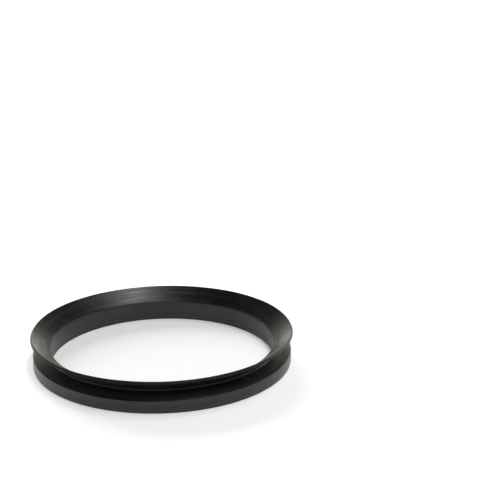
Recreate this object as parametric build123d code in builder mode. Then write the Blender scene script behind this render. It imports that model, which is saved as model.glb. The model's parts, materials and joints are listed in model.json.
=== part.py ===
from build123d import *
import os
from math import cos, radians, sin, tan

# V-ring seal: one elastic ring, moulded in a single piece of rubber. Lengths are in millimetres.
# It stands on its flat back face with its lip upward. The origin is the centre of that face,
# and +Z runs along the bore.

# Body, the solid heel that grips the shaft
bore_diameter = 76.0      # free size, before the ring is stretched over its shaft
section_height = 6.0      # rubber between the bore and the outer wall
body_width = 6.8          # from the back face to where the lip starts, along the bore
shoulder_height = 4.3     # height of the outer wall, up to the mouth of the groove

# Lip, a thin flaring cone that seals on a flat face of the housing
free_width = 11.0         # from the back face to the top of the lip, while nothing presses on it
lip_angle = 34.5          # slope of the cone, in degrees above the back face
lip_edge_thickness = 0.9  # the lip thins toward its edge, which is cut square to the cone

# Groove, the V that lets the lip fold toward the body
hinge_wall = 1.3          # rubber between the bore and the bottom of the groove
hinge_depth = 0.7         # bottom of the groove below the start of the lip

# Corners that the mould rounds, and the radius of those that it leaves crisp
back_radius = 0.5
shoulder_radius = 0.3
groove_radius = 0.4
hinge_radius = 0.4
crisp = 0

# The section as radii from the axis and heights above the back face
bore_radius = bore_diameter / 2
body_radius = bore_radius + section_height
groove_bottom_radius = bore_radius + hinge_wall
groove_bottom_height = body_width - hinge_depth
slope = radians(lip_angle)
lip_top_radius = bore_radius + (free_width - body_width) / tan(slope)
lip_outer_radius = lip_top_radius + lip_edge_thickness * sin(slope)
lip_outer_height = free_width - lip_edge_thickness * cos(slope)

# Corners of the section in order: along the back, up the body, into the groove, out under the lip,
# across its square edge, and down the cone to the hinge. The bore closes the outline.
section_corners = [
    ((bore_radius, 0), crisp),
    ((body_radius, 0), back_radius),
    ((body_radius, shoulder_height), shoulder_radius),
    ((groove_bottom_radius, groove_bottom_height), groove_radius),
    ((lip_outer_radius, lip_outer_height), crisp),
    ((lip_top_radius, free_width), crisp),
    ((bore_radius, body_width), hinge_radius),
]

with BuildPart() as v_ring:
    with BuildSketch(Plane.XZ):
        with BuildLine():
            FilletPolyline(
                *[point for point, corner_radius in section_corners],
                radius=[corner_radius for point, corner_radius in section_corners],
                close=True,
            )
        make_face()
    revolve(axis=Axis.Z)

v_ring.part.label = "v_ring"
os.makedirs("parts", exist_ok=True)
export_step(v_ring.part, "parts/v_ring.step")
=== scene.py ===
import json
from math import cos, hypot, pi, radians, sin, tan

import bmesh
import bpy
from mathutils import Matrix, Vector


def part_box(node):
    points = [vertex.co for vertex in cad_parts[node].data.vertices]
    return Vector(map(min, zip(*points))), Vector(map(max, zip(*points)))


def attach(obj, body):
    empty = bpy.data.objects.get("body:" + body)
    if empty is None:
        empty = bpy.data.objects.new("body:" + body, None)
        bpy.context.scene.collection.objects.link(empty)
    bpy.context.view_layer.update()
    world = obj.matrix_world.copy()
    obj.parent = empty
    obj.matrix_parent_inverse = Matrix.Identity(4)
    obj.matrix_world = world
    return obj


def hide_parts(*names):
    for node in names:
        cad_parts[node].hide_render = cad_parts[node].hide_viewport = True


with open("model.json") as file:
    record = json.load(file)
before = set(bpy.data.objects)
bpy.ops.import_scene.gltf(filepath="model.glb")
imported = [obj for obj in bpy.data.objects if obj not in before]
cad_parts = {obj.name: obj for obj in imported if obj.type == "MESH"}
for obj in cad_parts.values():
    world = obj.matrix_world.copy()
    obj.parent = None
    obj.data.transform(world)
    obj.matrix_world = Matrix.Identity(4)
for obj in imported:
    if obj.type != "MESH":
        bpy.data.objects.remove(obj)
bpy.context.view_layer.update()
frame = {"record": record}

# The camera, with a long lens, a little above the table. The ring lies left of and below the middle
# of the picture, so the camera doesn't point at it.
picture_width_px = 491
focal_length_px = 1199.4
sensor_width_mm = 36.0
camera_place = (0.0286, -0.3821, 0.1616)
look_down = 17.30
camera_roll = 0.27
camera_heading = -0.08
nearest_seen = 0.01
farthest_seen = 20.0

bpy.ops.object.select_all(action="DESELECT")
bpy.ops.object.camera_add(
    location=camera_place,
    rotation=(radians(90 - look_down), radians(camera_roll), radians(camera_heading)),
)
camera = bpy.context.object
camera.name = "camera"
camera.data.sensor_width = sensor_width_mm
camera.data.lens = focal_length_px * sensor_width_mm / picture_width_px
camera.data.clip_start = nearest_seen
camera.data.clip_end = farthest_seen
bpy.context.scene.camera = camera

# The ring, moulded in one piece from soft black rubber: a solid heel round the bore, a groove, and a
# thin lip that flares out above it. The mould rounds the corners, and the lip's edge is trimmed. No
# shaft grips the loose ring, so its faces are slightly uneven.
mounts = {mount["name"]: mount for mount in frame["record"]["mounts"]}
bore_radius = mounts["shaft_bore"]["dims"]["r_mm"] / 1000
free_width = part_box("v_ring")[1][2]
section_height = 0.0060
body_width = 0.0068
shoulder_height = 0.0043
hinge_wall = 0.0013
hinge_depth = 0.0007
lip_edge_thickness = 0.0009
slope = radians(34.5)
body_radius = bore_radius + section_height
lip_top_radius = bore_radius + (free_width - body_width) / tan(slope)
lip_outer_radius = lip_top_radius + lip_edge_thickness * sin(slope)
lip_outer_height = free_width - lip_edge_thickness * cos(slope)

# Each corner of the section: its radius from the axis, its height, and the radius that rounds it.
back_inner = (bore_radius, 0.0, 0.00015)
back_outer = (body_radius, 0.0, 0.00050)
shoulder = (body_radius, shoulder_height, 0.00030)
groove_bottom = (bore_radius + hinge_wall, body_width - hinge_depth, 0.00040)
lip_outer = (lip_outer_radius, lip_outer_height, 0.00006)
lip_top = (lip_top_radius, free_width, 0.00006)
hinge = (bore_radius, body_width, 0.00040)
corners = [back_inner, back_outer, shoulder, groove_bottom, lip_outer, lip_top, hinge]

# A loop of edges round the bore is drawn out from corner to corner, in short steps, until it closes.
steps_round = 480
longest_step = 0.0009
same_place = 1e-6
bpy.ops.object.select_all(action="DESELECT")
bpy.ops.mesh.primitive_circle_add(vertices=steps_round, radius=bore_radius, location=(0, 0, 0))
ring = bpy.context.object
ring.name = "moulded_ring"
bpy.ops.object.mode_set(mode="EDIT")
bpy.ops.mesh.select_mode(type="EDGE")
for here, there in zip(corners, corners[1:] + corners[:1]):
    outward = there[0] - here[0]
    upward = there[1] - here[1]
    steps = max(1, round(hypot(outward, upward) / longest_step))
    for step in range(steps):
        radius = here[0] + outward * step / steps
        growth = (radius + outward / steps) / radius
        bpy.ops.mesh.extrude_edges_move()
        bpy.ops.transform.resize(value=(growth, growth, 1), center_override=(0, 0, 0))
        bpy.ops.transform.translate(value=(0, 0, upward / steps))
bpy.ops.mesh.select_all(action="SELECT")
bpy.ops.mesh.remove_doubles(threshold=same_place)
bpy.ops.mesh.normals_make_consistent(inside=False)

# Each corner is rounded by a bevel of the edges that run round the ring at its radius and height. The
# bevel starts as far from the corner as a round of the given radius would.
rounding_steps = 6
nearness = 1e-5
for before, corner, after in zip(corners[-1:] + corners[:-1], corners, corners[1:] + corners[:1]):
    arm = (before[0] - corner[0], before[1] - corner[1])
    other_arm = (after[0] - corner[0], after[1] - corner[1])
    cosine = (arm[0] * other_arm[0] + arm[1] * other_arm[1]) / (hypot(*arm) * hypot(*other_arm))
    setback = corner[2] * ((1 + cosine) / (1 - cosine)) ** 0.5
    bpy.ops.mesh.select_all(action="DESELECT")
    shape = bmesh.from_edit_mesh(ring.data)
    for edge in shape.edges:
        off_radius = max(abs(end.co.xy.length - corner[0]) for end in edge.verts)
        off_height = max(abs(end.co.z - corner[1]) for end in edge.verts)
        edge.select_set(off_radius < nearness and off_height < nearness)
    bmesh.update_edit_mesh(ring.data)
    bpy.ops.mesh.bevel(offset=setback, segments=rounding_steps, affect="EDGES", clamp_overlap=False)
bpy.ops.mesh.select_all(action="SELECT")
bpy.ops.mesh.normals_make_consistent(inside=False)
bpy.ops.object.mode_set(mode="OBJECT")

# The unevenness fades out towards the back, which lies flat on the table.
uneven_depth = 0.00005
uneven_size = 0.009
flat_height = 0.0015
free_faces = ring.vertex_groups.new(name="free_faces")
for vertex in ring.data.vertices:
    free_faces.add([vertex.index], min(1.0, vertex.co.z / flat_height), "REPLACE")
unevenness = bpy.data.textures.new("unevenness", "CLOUDS")
unevenness.noise_scale = uneven_size
unevenness.noise_depth = 1
displace = ring.modifiers.new("uneven_faces", "DISPLACE")
displace.texture = unevenness
displace.texture_coords = "LOCAL"
displace.strength = uneven_depth
displace.mid_level = 0.5
displace.vertex_group = "free_faces"
bpy.ops.object.modifier_apply(modifier="uneven_faces")
bpy.ops.object.shade_smooth()
even_shading = ring.modifiers.new("even_shading", "WEIGHTED_NORMAL")
even_shading.keep_sharp = False
bpy.ops.object.modifier_apply(modifier="even_shading")


def combine(tree, operation, one, other):
    """Two values added, multiplied or compared. Each is a node's output or a plain number."""
    node = tree.nodes.new("ShaderNodeMath")
    node.operation = operation
    for socket, value in zip(node.inputs, (one, other)):
        if isinstance(value, (int, float)):
            socket.default_value = value
        else:
            tree.links.new(value, socket)
    return node.outputs[0]


def ramp(tree, value, start, end, first, last):
    """A value that goes smoothly from first to last while the given one goes from start to end."""
    node = tree.nodes.new("ShaderNodeMapRange")
    node.interpolation_type = "SMOOTHSTEP"
    node.inputs["From Min"].default_value = start
    node.inputs["From Max"].default_value = end
    node.inputs["To Min"].default_value = first
    node.inputs["To Max"].default_value = last
    tree.links.new(value, node.inputs["Value"])
    return node.outputs["Result"]


def lumps(tree, place, size, detail):
    """Noise around 0.5, in lumps of about the given size in metres."""
    node = tree.nodes.new("ShaderNodeTexNoise")
    node.inputs["Scale"].default_value = 1 / size
    node.inputs["Detail"].default_value = detail
    tree.links.new(place, node.inputs["Vector"])
    return node.outputs["Fac"]


def parts_of(tree, vector):
    """The X, Y and Z of a vector."""
    node = tree.nodes.new("ShaderNodeSeparateXYZ")
    tree.links.new(vector, node.inputs[0])
    return node.outputs


def vector_of(tree, **parts):
    """A vector with the given X, Y and Z, and 0 for each one that is left out."""
    node = tree.nodes.new("ShaderNodeCombineXYZ")
    for name, value in parts.items():
        tree.links.new(value, node.inputs[name])
    return node.outputs[0]


def vector_maths(tree, operation, vector, other=(0, 0, 0)):
    """What an operation makes of a vector, and of a fixed other one where it takes two."""
    node = tree.nodes.new("ShaderNodeVectorMath")
    node.operation = operation
    tree.links.new(vector, node.inputs[0])
    node.inputs[1].default_value = other
    return node.outputs


def blend_colour(tree, share, base, over):
    """The base colour where the share is 0 and the other one where it is 1."""
    node = tree.nodes.new("ShaderNodeMix")
    node.data_type = "RGBA"
    tree.links.new(share, node.inputs["Factor"])
    for socket, colour in ((node.inputs["A"], base), (node.inputs["B"], over)):
        if isinstance(colour, tuple):
            socket.default_value = (*colour, 1)
        else:
            tree.links.new(colour, socket)
    return node.outputs["Result"]


# The rubber is black, with a satin skin. What runs round the ring is drawn by the direction from the
# axis and by the radius plus the height, which changes along every face.
rubber = bpy.data.materials.new("black_rubber")
rubber.use_nodes = True
tree = rubber.node_tree
surface = tree.nodes["Principled BSDF"]
surface.inputs["IOR"].default_value = 1.5
place = tree.nodes.new("ShaderNodeTexCoord").outputs["Object"]
place_parts = parts_of(tree, place)
height = place_parts["Z"]
level_place = vector_of(tree, X=place_parts["X"], Y=place_parts["Y"])
radius_here = vector_maths(tree, "LENGTH", level_place)["Value"]
section_place = combine(tree, "ADD", radius_here, height)
heading = parts_of(tree, vector_maths(tree, "NORMALIZE", level_place)["Vector"])

# The skin has a fine grain and carries the turning marks of the mould, shallow grooves that run round
# the ring and fade. Each row gives their width, their depth and how far they run before they change.
# The last row's marks, the wide ones, also show in the wax and the polish. Limits, here and below, are
# the values of a noise between which what it makes comes in.
grain_size = 0.00018
grain_depth = 0.000002
turning_marks = [
    (0.00035, 0.000014, 0.018),
    (0.0012, 0.000040, 0.040),
]
fading_size = 0.020
fading_limits = (0.38, 0.62)
faintest_marks = 0.35
relief = combine(tree, "MULTIPLY", lumps(tree, place, grain_size, detail=1), grain_depth)
fading = lumps(tree, place, fading_size, detail=2)
mark_strength = ramp(tree, fading, *fading_limits, faintest_marks, 1.0)
for width, depth, run in turning_marks:
    squeeze = width * bore_radius / run
    mark_place = vector_of(
        tree,
        X=combine(tree, "MULTIPLY", heading["X"], squeeze),
        Y=combine(tree, "MULTIPLY", heading["Y"], squeeze),
        Z=section_place,
    )
    marks = lumps(tree, mark_place, width, detail=2)
    mark_relief = combine(tree, "MULTIPLY", combine(tree, "MULTIPLY", marks, depth), mark_strength)
    relief = combine(tree, "ADD", relief, mark_relief)
wide_marks = marks
skin = tree.nodes.new("ShaderNodeBump")
skin.inputs["Distance"].default_value = 1.0
tree.links.new(relief, skin.inputs["Height"])
tree.links.new(skin.outputs["Normal"], surface.inputs["Normal"])

# A thin bloom of wax comes out of the rubber, greyer and duller than the bare skin, in soft patches
# and in streaks that follow the wide marks. It thins from the shoulder up, so that the groove is
# darker, which is painted shade, and handling has rubbed most of it off the lip. The bore keeps a film
# of it, which is also a painted reflection of the white table that lightens the bore wall.
bare_rubber = (0.0058, 0.0058, 0.0055)
wax_and_painted_light_grey = (0.0340, 0.0340, 0.0310)
patch_size = 0.009
patch_limits = (0.46, 0.66)
wax_in_patches = 0.60
streak_limits = (0.44, 0.60)
wax_in_streaks = 0.60
wax_left_on_lip = 0.25
# The bore's film of wax, which is also a painted reflection that lightens the bore wall.
film_and_painted_light_thin_at = bore_radius + 0.0002
film_and_painted_light_end_at = bore_radius + 0.0006
wax_and_painted_light_in_bore = 0.50
patches = ramp(tree, lumps(tree, place, patch_size, detail=4), *patch_limits, 0.0, wax_in_patches)
streaks = ramp(tree, wide_marks, *streak_limits, 0.0, wax_in_streaks)
# Less wax from the shoulder up: painted shade in the groove, and wax rubbed off the lip above it.
wax_left_and_painted_groove_shade = ramp(tree, height, shoulder_height, body_width, 1.0, wax_left_on_lip)
bloom_and_painted_light = combine(tree, "MULTIPLY", combine(tree, "MAXIMUM", patches, streaks), wax_left_and_painted_groove_shade)
# The bore wall is made lighter here: wax and a painted reflection of the table in one.
bore_film_and_painted_light = ramp(tree, radius_here, film_and_painted_light_thin_at, film_and_painted_light_end_at, wax_and_painted_light_in_bore, 0.0)
bloom_and_painted_light = combine(tree, "ADD", bloom_and_painted_light, bore_film_and_painted_light)

# How far a point lies out along the slope of the lip tells its trimmed edge from its other faces. A
# little wax sits on that edge.
edge_starts = 0.00010
edge_is_full = 0.00004
wax_on_edge = 0.10
lip_reach = lip_top_radius * cos(slope) + free_width * sin(slope)
reach_outward = combine(tree, "MULTIPLY", radius_here, cos(slope))
reach_upward = combine(tree, "MULTIPLY", height, sin(slope))
reach = combine(tree, "ADD", reach_outward, reach_upward)
trimmed = ramp(tree, reach, lip_reach - edge_starts, lip_reach - edge_is_full, 0.0, 1.0)
bloom_and_painted_light = combine(tree, "MAXIMUM", bloom_and_painted_light, combine(tree, "MULTIPLY", trimmed, wax_on_edge))

# Dust is scattered through the whole solid, and the few specks that lie at its surface show. A speck
# is whole, and then ends, at these shares of the spacing from its middle.
dust_grey = (0.30, 0.30, 0.28)
dust_spacing = 0.0025
speck_whole = 0.016
speck_ends = 0.030
dust_cover = 0.8
specks = tree.nodes.new("ShaderNodeTexVoronoi")
specks.inputs["Scale"].default_value = 1 / dust_spacing
tree.links.new(place, specks.inputs["Vector"])
dust = ramp(tree, specks.outputs["Distance"], speck_whole, speck_ends, dust_cover, 0.0)
# The wax share also carries the painted shade in the groove and the painted reflection on the bore
# wall.
waxed_and_painted_rubber = blend_colour(tree, bloom_and_painted_light, bare_rubber, wax_and_painted_light_grey)
tree.links.new(blend_colour(tree, dust, waxed_and_painted_rubber, dust_grey), surface.inputs["Base Color"])

# The skin's polish varies a little, and the wide marks, the wax and the trimmed edge are duller.
polish_size = 0.006
polish_limits = (0.30, 0.70)
best_polish = 0.26
worst_polish = 0.33
mark_limits = (0.35, 0.65)
marks_duller = 0.09
wax_duller = 0.10
trimmed_roughness = 0.48
polish = lumps(tree, place, polish_size, detail=3)
dullness = ramp(tree, polish, *polish_limits, best_polish, worst_polish)
dullness = combine(tree, "ADD", dullness, ramp(tree, wide_marks, *mark_limits, 0.0, marks_duller))
dullness = combine(tree, "ADD", dullness, combine(tree, "MULTIPLY", bloom_and_painted_light, wax_duller))
dullness = combine(tree, "MAXIMUM", dullness, combine(tree, "MULTIPLY", trimmed, trimmed_roughness))
tree.links.new(dullness, surface.inputs["Roughness"])
ring.data.materials.append(rubber)

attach(ring, "root")
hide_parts("v_ring")

# The table, a sheet of white card that reaches past the edges of the picture. The ring lies loose on
# it and presses into it by a hair.
table_radius = 2.5
table_corners = 96
ring_presses_in = 0.00001
bpy.ops.object.select_all(action="DESELECT")
bpy.ops.mesh.primitive_circle_add(
    vertices=table_corners, radius=table_radius, fill_type="NGON", location=(0, 0, ring_presses_in)
)
table = bpy.context.object
table.name = "white_table"


def seen_ray(tree):
    """1 for rays that see directly, in gloss or through glass, and 0 for those of soft light."""
    ray = tree.nodes.new("ShaderNodeLightPath").outputs
    direct_or_mirrored = combine(tree, "MAXIMUM", ray["Is Camera Ray"], ray["Is Glossy Ray"])
    return combine(tree, "MAXIMUM", direct_or_mirrored, ray["Is Transmission Ray"])


# Where it is seen, the card glows a little, so that it shows as white, and the ring's shadow still
# falls on it. Outside the ring it glows more, so that the shadow there is faint, and its underside
# glows most.
card_white = (0.9, 0.9, 0.9)
glow_inside = 0.20
glow_outside = 0.40
glow_underneath = 0.60
card = bpy.data.materials.new("white_card")
card.use_nodes = True
tree = card.node_tree
surface = tree.nodes["Principled BSDF"]
surface.inputs["Base Color"].default_value = (*card_white, 1)
surface.inputs["Roughness"].default_value = 0.9
surface.inputs["Specular IOR Level"].default_value = 0.1
surface.inputs["Emission Color"].default_value = (1, 1, 1, 1)
place = tree.nodes.new("ShaderNodeTexCoord").outputs["Object"]
from_axis = vector_maths(tree, "LENGTH", place)["Value"]
glow = ramp(tree, from_axis, bore_radius, body_radius, glow_inside, glow_outside)
underneath = tree.nodes.new("ShaderNodeNewGeometry").outputs["Backfacing"]
glow = combine(tree, "MAXIMUM", glow, combine(tree, "MULTIPLY", underneath, glow_underneath))
glow = combine(tree, "MULTIPLY", glow, seen_ray(tree))
tree.links.new(glow, surface.inputs["Emission Strength"])
table.data.materials.append(card)

# The light: a long narrow softbox overhead, a little to the right, one behind that shades the table
# inside the ring, and a faint one in front. The camera doesn't see them.
# Each row gives a name, a place, a turn, a width, a length, a brightness and whether it is mirrored.
softbox_colour = (1.0, 1.0, 0.98)
softboxes = [
    ("softbox_above", (0.48, 0.05, 2.50), (0, 0, 0), 0.42, 2.3, 8.6, True),
    ("softbox_behind", (-1.10, 2.48, 1.25), (-65, 0, 24), 2.50, 1.2, 8.9, False),
    ("softbox_front", (0.80, -1.80, 1.90), (50, 0, 24), 1.60, 1.2, 2.5, False),
]
for name, where, turn, width, length, brightness, mirrored in softboxes:
    bpy.ops.object.select_all(action="DESELECT")
    bpy.ops.object.light_add(type="AREA", location=where, rotation=[radians(angle) for angle in turn])
    softbox = bpy.context.object
    softbox.name = name
    softbox.visible_camera = False
    softbox.visible_glossy = mirrored
    softbox.data.shape = "RECTANGLE"
    softbox.data.size = width
    softbox.data.size_y = length
    softbox.data.energy = brightness * pi * width * length
    softbox.data.color = softbox_colour

# The white walls of the light tent glow, most at their foot and behind the ring, a little to the
# right. Its front and its roof are dim, and so is the room under the table. The lower walls, which
# make the background, show as white all round, to the camera and in reflections.
# Levels are those of the direction looked in, 0 at the horizon and 1 straight up.
wall_colour = (1.0, 1.0, 0.91)
foot_level = 0.26
foot_glow = 2.9
roof_level = 0.55
low_glow = 0.6
roof_glow = 0.1
bright_side = (0.30, 0.95, 0)
bright_side_reach = 0.95
bright_side_share = 1.15
front_share = 0.12
white_levels = (0.19, 0.24)
white_glow = 1.1
dark_level = -0.10
share_below = 0.35
tent = bpy.data.worlds.new("light_tent")
bpy.context.scene.world = tent
tent.use_nodes = True
tree = tent.node_tree
walls = tree.nodes["Background"]
walls.inputs["Color"].default_value = (*wall_colour, 1)
direction = tree.nodes.new("ShaderNodeTexCoord").outputs["Generated"]
level = parts_of(tree, direction)["Z"]
wall_foot = ramp(tree, level, 0.0, foot_level, foot_glow, 0.0)
wall_glow = combine(tree, "ADD", wall_foot, ramp(tree, level, 0.0, roof_level, low_glow, roof_glow))
sideways = vector_maths(tree, "DOT_PRODUCT", direction, bright_side)["Value"]
side_share = ramp(tree, sideways, 0.0, bright_side_reach, front_share, bright_side_share)
wall_glow = combine(tree, "MULTIPLY", wall_glow, side_share)
lower_walls = ramp(tree, level, *white_levels, white_glow, 0.0)
lower_walls = combine(tree, "MULTIPLY", lower_walls, seen_ray(tree))
wall_glow = combine(tree, "MAXIMUM", wall_glow, lower_walls)
above_table = ramp(tree, level, dark_level, 0.0, share_below, 1.0)
wall_glow = combine(tree, "MULTIPLY", wall_glow, above_table)
tree.links.new(wall_glow, walls.inputs["Strength"])

bpy.context.scene.view_settings.view_transform = "Standard"
